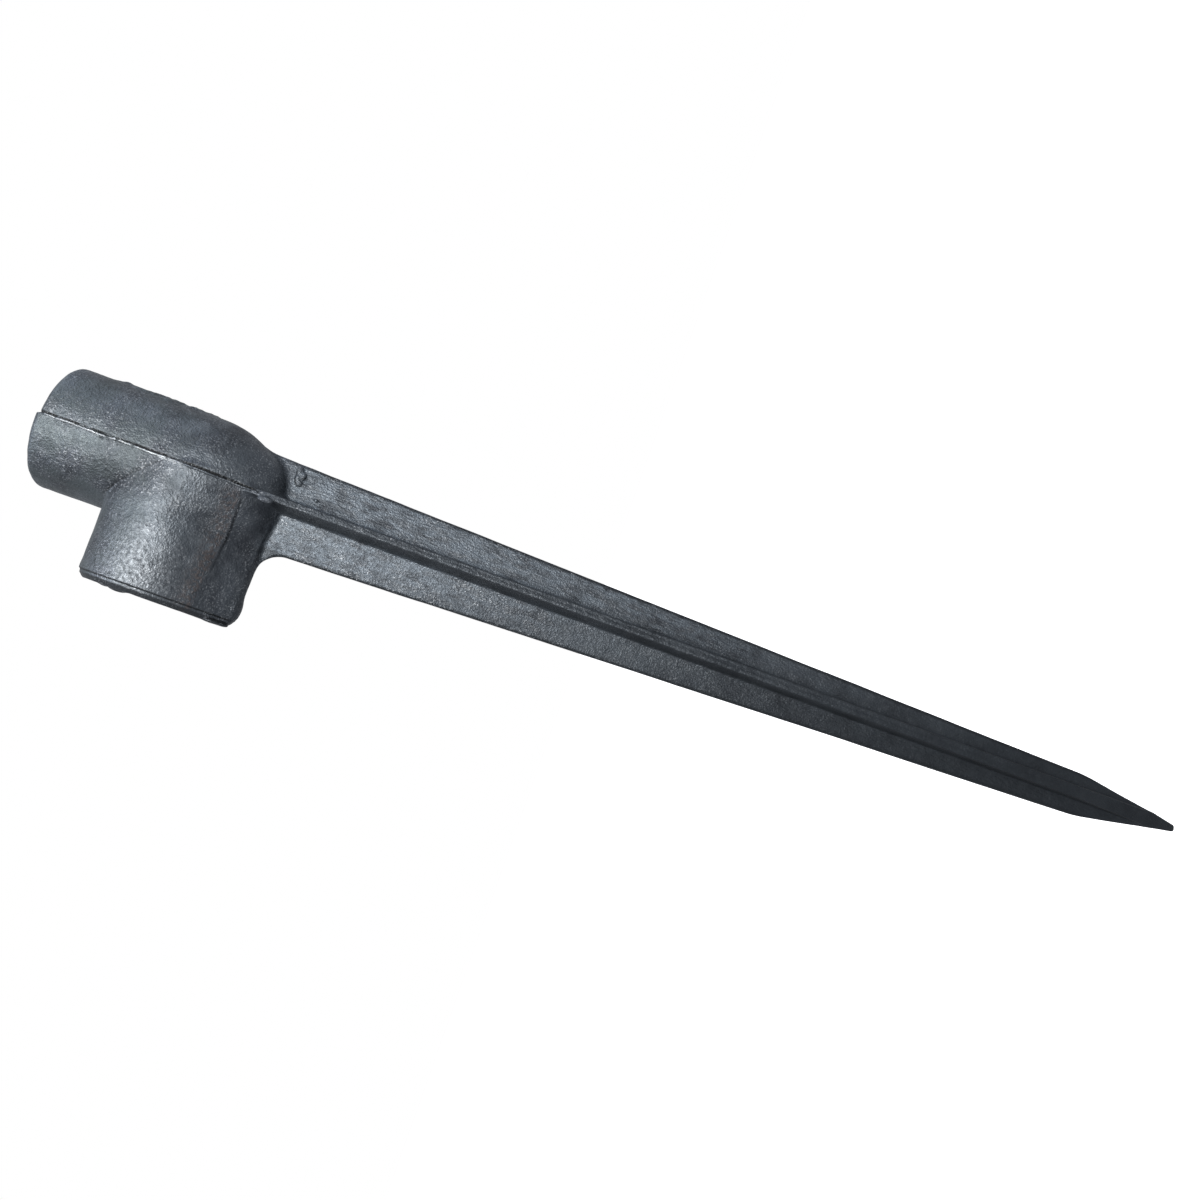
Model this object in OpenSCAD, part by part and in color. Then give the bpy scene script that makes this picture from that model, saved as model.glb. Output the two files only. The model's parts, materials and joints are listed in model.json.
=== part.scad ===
// Cast-iron ground spike with a threaded elbow head.
// Water comes in at the side socket and leaves through the socket in line with the spike.
// +Z runs up the spike and out of the outlet socket, and the inlet socket faces -X.
// Z = 0 is the soil line, where the head ends and the four fins begin.
// The real part is one casting. The nodes are its natural features, and they meet face to face.

/* [Sockets] */
// Outer diameter of both sockets
socket_od = 34; // [31:0.5:38]
// Minor diameter of the internal G 3/4 pipe thread
thread_minor_d = 24.117; // [22:0.001:25.5]
// Length of the threaded bore in each socket
thread_length = 16; // [12:0.5:17]
// Diameter of the waterway that joins the two threads
waterway_d = 20; // [14:0.5:22]
// Radius on the outer rim of each socket
rim_radius = 1.8; // [0.5:0.1:2.8]
// Depth and width of the chamfer at each thread mouth
mouth_chamfer = 1.3; // [0.4:0.1:1.6]

/* [Head] */
// Height of the outlet face above the soil line
outlet_height = 62; // [58:0.5:66]
// Distance from the outlet face down to the inlet axis
inlet_drop = 37; // [35:0.5:38]
// Distance from the spike axis to the inlet face
inlet_reach = 36; // [33:0.5:40]
// Distance from the outlet face down to the start of the shoulder
shoulder_drop = 46.5; // [45:0.5:48]
// Height above the soil line where the shoulder turns into its round end
dome_rise = 6; // [4:0.5:8]
// Radius of the round end of the shoulder
dome_radius = 15.2; // [14.5:0.1:16]
// Depth of the round end of the shoulder below the soil line
dome_drop = 1.3; // [0.5:0.1:3]
// Distance from the outlet face down to the underside of the heel web
heel_drop = 62.3; // [61:0.1:64]
// Radius of the narrow nose of the heel web
heel_nose_r = 3.5; // [2:0.5:5]
// Radius of the outer bottom corner of the heel web
heel_corner_r = 3.2; // [1:0.1:5]

/* [Spike] */
// Reach of each fin from the axis at the soil line
fin_top_reach = 12.9; // [11:0.1:13]
// Reach of each fin from the axis where the point begins
fin_end_reach = 5.8; // [4:0.1:8]
// Thickness of a fin at its outer edge near the head
fin_edge_t = 1.6; // [1:0.1:3]
// Side of the square core, which is also the thickness of a fin at its root
core_side = 4.2; // [3:0.1:6]
// Length of the finned stretch below the soil line
fin_length = 239; // [150:1:300]
// Radius of the fillet that carries the inlet-side fin out to the heel web
fin_fillet_r = 7; // [4:0.5:9]
// Length of the point below the fins
point_length = 29.5; // [15:0.5:40]
// Radius of the blunt tip
tip_r = 1.3; // [0.5:0.1:2]

/* [Parting line] */
// How far the flash stands proud of the casting
flash_proud = 0.4; // [0.2:0.1:0.8]
// Thickness of the flash
flash_t = 0.6; // [0.3:0.1:1]

/* [Hidden] */
$fn = 96;

clear = 1; // how far a cutting shape runs past what it cuts

socket_r = socket_od / 2;
thread_r = thread_minor_d / 2;
waterway_r = waterway_d / 2;
inlet_z = outlet_height - inlet_drop;
shoulder_z = outlet_height - shoulder_drop;
outlet_joint_z = inlet_z + socket_r + 1;
inlet_joint = socket_r;

dome_centre_z = dome_radius - dome_drop;
dome_top_r = sqrt(pow(dome_radius, 2) - pow(dome_centre_z - dome_rise, 2));

heel_bottom_z = outlet_height - heel_drop;
nose_z = heel_bottom_z + heel_nose_r;

fin_slope = (fin_top_reach - fin_end_reach) / fin_length;
fin_overrun = dome_rise + 4; // fins run this far up into the shoulder before they are cut by it
point_z = -fin_length - point_length;

iron = "#3f454b";
dark_iron = "#2b2f34";
flash_grey = "#6f767c";

// Reach of a fin from the axis at height z
function fin_reach(z) = fin_top_reach + fin_slope * z;

// Solid blank of a socket, standing on z = 0, with its rounded rim on top
module socket_blank(length) {
    rotate_extrude() {
        square([socket_r - rim_radius, length]);
        square([socket_r, length - rim_radius]);
        translate([socket_r - rim_radius, length - rim_radius]) intersection() {
            circle(r = rim_radius);
            square(rim_radius);
        }
    }
}

// A socket with its threaded bore, its mouth chamfer and the waterway behind the thread
module socket(length) {
    difference() {
        socket_blank(length);
        translate([0, 0, length - thread_length]) cylinder(r = thread_r, h = thread_length + clear);
        translate([0, 0, length - mouth_chamfer])
            cylinder(r1 = thread_r, r2 = thread_r + mouth_chamfer + clear, h = mouth_chamfer + clear);
        translate([0, 0, -clear]) cylinder(r = waterway_r, h = length);
    }
}

// Lays a child that stands on z = 0 along -X at the inlet's height
module along_inlet(start) {
    translate([-start, 0, inlet_z]) rotate([0, -90, 0]) children();
}

// The shoulder as a plain solid: a cone that ends in a round cap
module shoulder_solid() {
    rotate_extrude() {
        polygon([[0, dome_rise], [dome_top_r, dome_rise], [socket_r, shoulder_z], [0, shoulder_z]]);
        intersection() {
            translate([0, dome_centre_z]) circle(r = dome_radius);
            translate([0, -dome_drop - clear]) square([dome_radius, dome_rise + dome_drop + clear]);
        }
    }
}

// Outline of the heel web seen along the inlet axis, in Y and Z: it narrows from the socket to its nose
module heel_section() {
    fall = (socket_r - heel_nose_r) / (inlet_z - nose_z);
    lean = sqrt(1 - pow(fall, 2));
    top_z = inlet_z - socket_r * fall;
    low_z = nose_z - heel_nose_r * fall;
    polygon([[-socket_r * lean, top_z], [-heel_nose_r * lean, low_z],
             [heel_nose_r * lean, low_z], [socket_r * lean, top_z]]);
    translate([0, nose_z]) circle(r = heel_nose_r);
}

// Side outline of the heel web in X and Z, with its rounded outer bottom corner
module heel_side() {
    translate([-inlet_reach + heel_corner_r, heel_bottom_z])
        square([inlet_reach - heel_corner_r, inlet_z - heel_bottom_z]);
    translate([-inlet_reach, heel_bottom_z + heel_corner_r])
        square([inlet_reach, inlet_z - heel_bottom_z - heel_corner_r]);
    translate([-inlet_reach + heel_corner_r, heel_bottom_z + heel_corner_r]) circle(r = heel_corner_r);
}

// The heel web before the sockets and the shoulder are cut out of it
module heel_solid() {
    intersection() {
        rotate([90, 0, -90]) linear_extrude(height = inlet_reach) mirror([1, 0]) heel_section();
        rotate([90, 0, 0]) linear_extrude(height = socket_od, center = true) heel_side();
    }
}

// Cross-section of one fin along +X: it thins from the core to its edge
module fin_section() {
    root = core_side / 2;
    edge = fin_edge_t / 2;
    far = inlet_reach;
    polygon([[root, -root], [fin_top_reach, -edge], [far, -edge],
             [far, edge], [fin_top_reach, edge], [root, root]]);
}

// Side outline of one fin along +X, which narrows towards the point
module fin_side() {
    polygon([[0, -fin_length], [fin_end_reach, -fin_length],
             [fin_reach(fin_overrun), fin_overrun], [0, fin_overrun]]);
}

// Side outline of the fillet between a fin along +X and the heel web
module fin_flare() {
    start_z = heel_bottom_z - fin_fillet_r;
    corner = fin_reach(start_z);
    difference() {
        translate([0, start_z]) square([corner + fin_fillet_r, fin_fillet_r + heel_nose_r]);
        translate([corner + fin_fillet_r, start_z]) circle(r = fin_fillet_r);
    }
}

// One fin along +X, cut to the side outline that its child draws
module fin() {
    intersection() {
        translate([0, 0, -fin_length]) linear_extrude(height = fin_length + fin_overrun) fin_section();
        rotate([90, 0, 0]) linear_extrude(height = core_side + clear, center = true) children();
    }
}

// A plain fin, turned about the spike axis and ended by the shoulder
module plain_fin(turn) {
    difference() {
        rotate([0, 0, turn]) fin() fin_side();
        shoulder_solid();
    }
}

// Side outline of the point, which narrows to the blunt tip
module point_side() {
    tip_z = point_z + tip_r;
    polygon([[-fin_end_reach, -fin_length], [-tip_r, tip_z], [tip_r, tip_z], [fin_end_reach, -fin_length]]);
    translate([0, tip_z]) circle(r = tip_r);
}

// Socket in line with the spike, where a riser or a sprinkler screws in
module outlet_socket() {
    color(iron) translate([0, 0, outlet_joint_z]) socket(outlet_height - outlet_joint_z);
}

// Elbow between the two sockets, with the bend of the waterway inside
module elbow_body() {
    color(iron) difference() {
        union() {
            translate([0, 0, shoulder_z]) cylinder(r = socket_r, h = outlet_joint_z - shoulder_z);
            along_inlet(0) cylinder(r = socket_r, h = inlet_joint);
        }
        shoulder_solid();
        translate([0, 0, inlet_z - waterway_r])
            cylinder(r = waterway_r, h = outlet_joint_z - inlet_z + waterway_r + clear);
        along_inlet(0) cylinder(r = waterway_r, h = inlet_joint + clear);
    }
}

// Socket at the side of the head, where the supply pipe screws in
module inlet_socket() {
    color(iron) along_inlet(inlet_joint) socket(inlet_reach - inlet_joint);
}

// Solid shoulder that carries the load from the head into the spike
module shoulder() {
    color(iron) shoulder_solid();
}

// Web that braces the inlet socket against the spike
module heel_web() {
    color(iron) difference() {
        heel_solid();
        along_inlet(0) socket_blank(inlet_reach);
        translate([0, 0, shoulder_z]) cylinder(r = socket_r, h = outlet_height);
        shoulder_solid();
    }
}

// Square core that the four fins grow from
module spike_core() {
    color(dark_iron) difference() {
        translate([-core_side / 2, -core_side / 2, -fin_length]) cube([core_side, core_side, fin_length]);
        shoulder_solid();
    }
}

// Fin on the side away from the inlet
module fin_outer() {
    color(dark_iron) plain_fin(0);
}

// Fin under the inlet, which flares out to the heel web
module fin_inlet_side() {
    color(dark_iron) difference() {
        rotate([0, 0, 180]) fin() {
            fin_side();
            fin_flare();
        }
        shoulder_solid();
        heel_solid();
    }
}

// Fin on the -Y side, in line with the parting line
module fin_front() {
    color(dark_iron) plain_fin(-90);
}

// Fin on the +Y side, in line with the parting line
module fin_back() {
    color(dark_iron) plain_fin(90);
}

// Point that all four fins run into
module spike_point() {
    color(dark_iron) intersection() {
        translate([0, 0, point_z]) linear_extrude(height = point_length) {
            square(core_side, center = true);
            for (turn = [0:90:270]) rotate(turn) fin_section();
        }
        rotate([90, 0, 0]) linear_extrude(height = socket_od, center = true) point_side();
        rotate([90, 0, 90]) linear_extrude(height = socket_od, center = true) point_side();
    }
}

// Thin flash down the front and the back of the head, where the two mould halves met
module parting_flash() {
    low_z = dome_rise + 1;
    low_r = dome_top_r + (socket_r - dome_top_r) / (shoulder_z - dome_rise);
    high_z = outlet_height - rim_radius;
    color(flash_grey) for (side = [-1, 1]) difference() {
        rotate([90, 0, 90]) linear_extrude(height = flash_t, center = true) polygon([
            [side * (socket_r - clear), high_z], [side * (socket_r + flash_proud), high_z],
            [side * (socket_r + flash_proud), shoulder_z], [side * (low_r + flash_proud), low_z],
            [side * (low_r - clear), low_z], [side * (socket_r - clear), shoulder_z]]);
        translate([0, 0, shoulder_z]) cylinder(r = socket_r, h = outlet_height);
        shoulder_solid();
    }
}

outlet_socket();
elbow_body();
inlet_socket();
shoulder();
heel_web();
spike_core();
fin_outer();
fin_inlet_side();
fin_front();
fin_back();
spike_point();
parting_flash();
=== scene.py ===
# %% [markdown]
# # A cast-iron ground spike
#
# The object is one grey-iron casting: two equal sockets that meet in an elbow, a round shoulder, a
# heel web under the inlet, and a long spike of four fins. The CAD model holds its sizes. This
# script gives it the shape that a sand mould gives: every corner is blended, the skin is grainy,
# and a thin line of flash runs where the two halves of the mould met.
#
# The frame comes first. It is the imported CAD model, and no size below is typed in twice: each one
# is read from the frame where the frame knows it.

# %% Load the frame
import json
import math

import bmesh
import bpy
import numpy as np
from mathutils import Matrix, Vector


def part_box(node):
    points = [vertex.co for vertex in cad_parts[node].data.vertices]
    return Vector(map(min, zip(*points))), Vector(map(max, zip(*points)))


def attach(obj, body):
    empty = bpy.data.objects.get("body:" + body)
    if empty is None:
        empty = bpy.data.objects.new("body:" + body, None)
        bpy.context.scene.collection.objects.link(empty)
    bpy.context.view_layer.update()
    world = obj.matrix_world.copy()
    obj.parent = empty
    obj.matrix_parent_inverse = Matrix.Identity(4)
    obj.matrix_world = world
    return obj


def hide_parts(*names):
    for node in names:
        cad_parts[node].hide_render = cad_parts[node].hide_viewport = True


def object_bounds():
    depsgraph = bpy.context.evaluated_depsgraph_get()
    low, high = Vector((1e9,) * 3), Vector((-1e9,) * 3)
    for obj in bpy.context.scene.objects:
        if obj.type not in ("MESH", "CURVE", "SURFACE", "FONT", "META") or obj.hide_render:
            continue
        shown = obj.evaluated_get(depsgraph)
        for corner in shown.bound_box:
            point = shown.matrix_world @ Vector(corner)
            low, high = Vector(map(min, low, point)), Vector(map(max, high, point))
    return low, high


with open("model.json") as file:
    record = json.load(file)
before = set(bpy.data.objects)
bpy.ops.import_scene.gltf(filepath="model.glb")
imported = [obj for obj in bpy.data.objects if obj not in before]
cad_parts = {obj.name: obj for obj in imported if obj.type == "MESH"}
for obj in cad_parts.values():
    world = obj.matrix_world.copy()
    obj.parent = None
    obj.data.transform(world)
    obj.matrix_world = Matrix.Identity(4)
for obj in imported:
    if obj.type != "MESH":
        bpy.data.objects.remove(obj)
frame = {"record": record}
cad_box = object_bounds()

import openvdb
from mathutils import Matrix, Vector
from mathutils.geometry import delaunay_2d_cdt
from types import SimpleNamespace

MM = 0.001  # Blender works in metres, and a maker thinks of this casting in millimetres

# %% [markdown]
# ## Sizes from the frame
#
# A node's box gives the faces that matter. The sockets give their radius and their end faces, the
# shoulder gives the top and bottom of its cone and dome, and the fins give the taper of the spike.

# %% Read the sizes


def box_mm(node):
    """Lowest and highest corner of a CAD node in millimetres."""
    low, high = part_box(node)
    return np.array(low) / MM, np.array(high) / MM


mounts = {m["name"]: m for m in frame["record"]["mounts"]}
outlet_low, outlet_high = box_mm("outlet_socket")
inlet_low, inlet_high = box_mm("inlet_socket")
shoulder_low, shoulder_high = box_mm("shoulder")
heel_low = box_mm("heel_web")[0]
point_low, point_high = box_mm("spike_point")

socket_r = outlet_high[0]
outlet_z = outlet_high[2]
socket_joint_z = outlet_low[2]
inlet_x = inlet_low[0]
inlet_z = (inlet_low[2] + inlet_high[2]) / 2
thread_minor_r = mounts["outlet_thread"]["dims"]["r_mm"]
shoulder_top_z = shoulder_high[2]
dome_bottom_z = shoulder_low[2]
heel_bottom_z = heel_low[2]
fin_end_z = point_high[2]
fin_end_reach = point_high[0]
tip_z = point_low[2]
cad_low = np.array(cad_box[0]) / MM
cad_high = np.array(cad_box[1]) / MM
fin_top_reach = 12.9  # where the fins start, at the soil line
print(f"socket radius {socket_r:.1f}, outlet face {outlet_z:.1f}, inlet axis {inlet_z:.1f}, "
      f"inlet face {inlet_x:.1f}, tip {tip_z:.1f} mm")

# %% [markdown]
# ## A grid to carve in
#
# A casting has no sharp inside corners, so it is easiest to model as a distance field: a grid of
# numbers that says how far each point is from the skin, negative inside the iron. Two shapes are
# joined by taking the smaller distance, and if the two are blended where they are nearly equal,
# the join becomes a fillet. Boolean and bevel modifiers could do the same, but a bevel has to
# follow every edge, and here the edges run into each other all over the head.

# %% Blending tools

diagonal = 0.7071  # the sum of two distances times this is the distance to the plane at 45 degrees


def join(a, b, blend):
    """Union of two fields with a fillet about as large as blend."""
    h = np.clip(0.5 + 0.5 * (b - a) / blend, 0, 1)
    return b * (1 - h) + a * h - blend * h * (1 - h)


def keep_common(a, b, blend):
    """Intersection of two fields, with its outside corner rounded off."""
    return -join(-a, -b, blend)


def cut_away(a, b, blend):
    """The first field with the second carved out of it, with a softened rim."""
    return keep_common(a, -b, blend)


def rounded_end(side, end, radius):
    """A wall and an end face that meet in a true round edge."""
    across = np.maximum(side + radius, 0)
    along = np.maximum(end + radius, 0)
    inside = np.minimum(np.maximum(side + radius, end + radius), 0)
    return np.sqrt(across**2 + along**2) + inside - radius


def round_corner(a, b, radius):
    """Union of two fields with an inside corner of this radius."""
    ra = np.maximum(radius - a, 0)
    rb = np.maximum(radius - b, 0)
    return np.maximum(radius, np.minimum(a, b)) - np.sqrt(ra**2 + rb**2)


# %% [markdown]
# The grid doesn't need the same spacing everywhere. The spike is long and changes slowly along its
# length, so there the layers can be further apart. All the spacings are counted from zero, so that
# two grids that meet share their lines.

# %% Grids


def lines(low, high, step):
    """Places from low to high that are whole multiples of step."""
    return step * np.arange(math.floor(low / step), math.ceil(high / step) + 1, dtype=np.float64)


class Grid:
    """A box of points, in millimetres, at the crossings of three sets of lines."""

    def __init__(self, x_lines, y_lines, z_lines):
        self.axes = [x_lines, y_lines, z_lines]
        self.x = x_lines[:, None, None].astype(np.float32)
        self.y = y_lines[None, :, None].astype(np.float32)
        self.z = z_lines[None, None, :].astype(np.float32)
        print("grid of", [len(a) for a in self.axes], "points")

    def near(self, place, reach):
        """Slices of the grid within reach of a place, one for each axis."""
        return tuple(slice(int(np.searchsorted(a, p - r)), int(np.searchsorted(a, p + r)))
                     for a, p, r in zip(self.axes, place, reach))


# %% [markdown]
# ## Unevenness of sand
#
# Sand packed round a pattern never leaves a true surface. Smooth noise, with lumps of a chosen
# size in millimetres, pushes the skin in and out. The lattice of random heights covers the whole
# object and has a fixed seed, so the casting comes out the same every time, and two grids agree
# where they meet.

# %% Lumpy noise

noise_low = cad_low - 8.0
noise_high = cad_high + 8.0


def lumps(grid, size, seed):
    """Smooth noise between -1 and 1 on the grid, with lumps of about this size in x, y and z."""
    rng = np.random.default_rng(seed)
    weights = []
    for axis, low, high, s in zip(grid.axes, noise_low, noise_high, np.broadcast_to(size, 3)):
        place = (axis - low) / s
        cell = np.floor(place).astype(int)
        part = place - cell
        part = part * part * (3 - 2 * part)
        rows = np.zeros((len(axis), int((high - low) / s) + 3), np.float32)
        rows[np.arange(len(axis)), cell] = 1 - part
        rows[np.arange(len(axis)), cell + 1] = part
        weights.append(rows)
    heights = rng.uniform(-1, 1, [w.shape[1] for w in weights]).astype(np.float32)
    return np.einsum("ia,jb,kc,abc->ijk", *weights, heights, optimize=True)


# %% [markdown]
# ## The column
#
# The outlet socket, the shoulder cone and the dome are one turned shape on the spike's axis: a
# straight wall, a cone that narrows downwards and part of a ball, blended where they meet. A drawn
# profile could be spun round the axis instead, but a field joins the rest of the casting without
# an edge.
#
# The casting's two halves came from two halves of a mould that were not quite in register. The
# inlet side's half has slipped a little forwards, which leaves a step all along the parting line,
# and its socket rim stands a little higher.

# %% Column shape

rim_round = 1.8
dome_r = 15.2
cone_z = 6.0  # where the cone takes over from the dome
cone_blend = 2.5
dome_blend = 2.4
slip_up = 0.7
slip_forward = 0.17
slip_edge = 0.12  # over about this width the skin passes from one mould half to the other


def inlet_half(x):
    """One on the inlet side of the parting plane, and zero on the other."""
    return 0.5 - 0.5 * np.tanh(x / slip_edge)


def upright_column(g):
    """Outlet socket, shoulder cone and dome, as one shape turned on the spike's axis."""
    r = np.sqrt(g.x**2 + g.y**2)
    z = g.z
    dome_z = dome_bottom_z + dome_r
    cone_r = math.sqrt(dome_r**2 - (dome_z - cone_z) ** 2)
    slope = (socket_r - cone_r) / (shoulder_top_z - cone_z)
    lean = 1 / math.sqrt(1 + slope**2)
    rim_z = outlet_z - slip_up * (1 - inlet_half(g.x))
    rim = rounded_end(r - socket_r, z - rim_z, rim_round)
    cone = (r - cone_r - slope * (z - cone_z)) * lean
    ball = np.sqrt(r**2 + (z - dome_z) ** 2) - dome_r
    brow = ((r - cone_r) * cone_r + (z - cone_z) * (cone_z - dome_z)) / dome_r
    dome = np.where(z < cone_z, ball, brow)
    return keep_common(keep_common(rim, cone, cone_blend), dome, dome_blend)


# %% [markdown]
# ## The inlet and its heel
#
# The inlet socket and the heel web under it are one extruded shape: seen along the inlet axis it
# is a teardrop, a large circle and a small one with straight flanks between them. Its pattern was
# drawn out of the sand along the inlet axis, so it is a little thicker where it meets the column.

# %% Teardrop outline

heel_nose_r = 3.5


def teardrop(g):
    """Outline of the inlet socket and heel web, seen along the inlet axis."""
    nose_z = heel_bottom_z + heel_nose_r
    drop = inlet_z - nose_z
    fall = (socket_r - heel_nose_r) / drop
    lean = math.sqrt(1 - fall**2)
    side = np.abs(g.y)
    down = inlet_z - g.z
    along = -fall * side + lean * down
    flank = lean * side + fall * down - socket_r
    big = np.sqrt(side**2 + down**2) - socket_r
    small = np.sqrt(side**2 + (down - drop) ** 2) - heel_nose_r
    return np.where(along < 0, big, np.where(along > lean * drop, small, flank))


# %% [markdown]
# The core box shaped the last stretch before the mouth. It is a little thinner than the rest, with
# a chamfered rim. The lower part of the heel was a loose piece of the pattern: where it ended, a
# witness line runs along both flanks, with a small ledge above it, and falls a little towards the
# column. All of this is a change of the distance itself, so it needs no cut and no extra piece.

# %% Inlet block

draw_draft = 0.5  # how much thicker the inlet socket is at its root
upper_swell = 1.75  # a fuller quarter above the axis, where the pattern's fillet ran up the column
swell_above = 12.5  # the middle of that quarter, above the axis
swell_half = 4
lip_length = 2.3
lip_step = 0.45
lip_edge = 0.25
lip_chamfer = 1.3
heel_corner_r = 3.2
heel_floor_z = heel_bottom_z + 0.3
witness_z = 9.1  # height of the line at the inlet's mouth
witness_fall = 2.4  # how much lower it is at the column
witness_height = 0.28  # how far the skin stands out along the line
witness_half = 5.5
ledge_height = 0.2
ledge_half = 2.5


def inlet_block(g):
    """Inlet socket with its heel web, ended by the inlet face."""
    root = 1 - g.x / inlet_x
    swell = upper_swell * np.exp(-((g.z - inlet_z - swell_above) / swell_half) ** 2)
    outline = teardrop(g) - draw_draft * root - swell * root**2
    above = g.z - witness_z + witness_fall * root
    crease = witness_height * np.clip(1 - np.abs(above) / witness_half, 0, 1)
    near_column = np.clip((g.x + 26) / 10, 0.2, 1)
    ledge = ledge_height * np.clip(1 - above / ledge_half, 0, 1) * (above > 0) * near_column
    outline = outline - (crease + ledge) * np.clip((np.abs(g.y) - 2) / 3, 0, 1)
    end = inlet_x - g.x
    lip = np.clip((end + lip_length) / lip_edge, 0, 1)
    chamfer = (outline + lip_step + end + lip_chamfer) * diagonal
    outer = np.maximum(np.maximum(outline + lip_step * lip, end), chamfer)
    corner = rounded_end(end, heel_floor_z - g.z, heel_corner_r)
    return np.maximum(keep_common(outer, corner, 0.5), g.x)


# %% [markdown]
# ## The spike
#
# Each fin is a wedge: thick at the core, thin at its edge, as the pattern must be to draw out of
# the sand. The fins narrow towards the tip, and because the wedge itself stays the same, their
# edges get broader as they get shorter. Under the inlet the fin turns outwards in a wide fillet
# and runs into the heel web.

# %% Spike shapes

core_half = 2.1
fin_edge_half = 0.8
fin_edge_round = 0.7
ridge_edge_round = 0.3  # the front and back fins lie on the parting plane: sharper edges
fin_draft = (core_half - fin_edge_half) / (fin_top_reach - core_half)
fin_taper = (fin_top_reach - fin_end_reach) / -fin_end_z
tip_r = 0.95
point_taper = (fin_end_reach - tip_r) / (fin_end_z - tip_z - tip_r)
point_blend = 0.4
fin_root_blend = 0.5
flare_r = 7.0  # the wide fillet under the inlet
flare_end = 4  # short of the inlet face
spike_top_z = 8  # hidden inside the head
print(f"fin draft {math.degrees(math.atan(fin_draft)):.1f} degrees, "
      f"point {2 * math.degrees(math.atan(point_taper)):.1f} degrees across")


def outline_reach(z):
    """How far the spike reaches from its axis at height z."""
    fins = fin_top_reach + fin_taper * z
    point = fin_end_reach - point_taper * (fin_end_z - z)
    below = tip_z + tip_r - z
    cap = np.sqrt(np.maximum(tip_r**2 - below**2, 0)) - np.maximum(below - tip_r, 0)
    return np.where(below > 0, cap, join(fins, point, point_blend))


def fin_pair(out, across, reach, edge_field, edge_round):
    """Two opposite fins: out is the distance along them, and across their thickness."""
    half = core_half - fin_draft * (np.abs(out) - core_half)
    half = np.maximum(half, fin_edge_half * 0.9)
    side = np.abs(across) - np.minimum(half, reach)
    return rounded_end(side, edge_field, edge_round)


def spike(g):
    """Four fins on their core, and the point."""
    reach = outline_reach(g.z)
    front_back = fin_pair(g.y, g.x, reach, np.abs(g.y) - reach, ridge_edge_round)
    outer = fin_pair(g.x, g.y, reach, g.x - reach, fin_edge_round)
    low_down = np.clip((-170 - g.z) / 30, 0, 1)
    off_the_tip = np.clip((g.z - tip_z - 12) / 10, -0.75, 1)
    spread = 0.15 + 0.2 * low_down * off_the_tip  # this fin is slightly deeper than its opposite
    flare = round_corner(-g.x - reach - spread, heel_floor_z - g.z, flare_r)
    flare = np.maximum(flare, -g.x + inlet_x + flare_end)
    inner = fin_pair(g.x, g.y, reach, flare, fin_edge_round)
    cross = join(front_back, np.maximum(outer, inner), fin_root_blend)
    return np.maximum(np.maximum(cross, g.z - spike_top_z), tip_z - g.z)


# %% [markdown]
# ## The waterway and its threads
#
# Both sockets have a G 3/4 pipe thread: 14 turns to the inch, cut into a bore at the thread's
# minor diameter. The groove is a helix, so its depth depends on height minus a part of a turn.
# The crests and roots of a pipe thread are rounded, and a cosine with clipped ends is close to
# that. The two bores meet behind the threads in a plain waterway.

# %% Threads and waterway

thread_pitch = 25.4 / 14
thread_major_r = 26.441 / 2
thread_length = 16.0
thread_runout = 2.5  # the last turns get shallower, as the tap's do
thread_fullness = 0.62  # above a half, the crests and roots are flattened
flank_slope = 0.8  # across a sloping flank the skin is nearer than straight outwards
waterway_r = 10.0
mouth_chamfer = 1.3
bend_blend = 0.8
print(f"thread depth {thread_major_r - thread_minor_r:.2f} mm, {thread_length / thread_pitch:.1f} turns")


def threaded_bore(across_a, across_b, inward):
    """Hollow of one socket. inward is the depth below its face."""
    r = np.sqrt(across_a**2 + across_b**2)
    turn = np.arctan2(across_b, across_a) / (2 * math.pi)
    phase = (inward / thread_pitch + turn) * 2 * math.pi
    groove = np.clip(0.5 + thread_fullness * np.cos(phase), 0, 1)
    fade = np.clip((thread_length - inward) / thread_runout, 0, 1)
    wall = thread_minor_r + (thread_major_r - thread_minor_r) * groove * fade
    threaded = np.maximum((r - wall) * flank_slope, inward - thread_length)
    lead_in = (r - thread_minor_r - mouth_chamfer + inward) * diagonal
    lead_in = np.maximum(lead_in, inward - mouth_chamfer - 2)
    plain = r - waterway_r
    return np.minimum(np.minimum(threaded, lead_in), plain)


def waterway(g):
    """Everything that is hollow in the head."""
    upper = threaded_bore(g.x, g.y, outlet_z - g.z)
    upper = np.maximum(upper, inlet_z - g.z)
    side = threaded_bore(g.y, g.z - inlet_z, g.x - inlet_x)
    side = np.maximum(side, g.x)
    bend = np.sqrt(g.x**2 + g.y**2 + (g.z - inlet_z) ** 2) - waterway_r
    return join(join(upper, side, bend_blend), bend, bend_blend)


# %% [markdown]
# ## Scars
#
# A sand casting keeps its accidents. Iron that found a hole in the sand stays as a bead, and a
# grain of sand that broke loose leaves a pit. Each is an ellipsoid, added to the field or taken
# out of it only near its place. On the side away from the inlet there is a long rough patch, where
# sand has burnt on to the socket wall.

# %% Beads and pits

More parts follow.
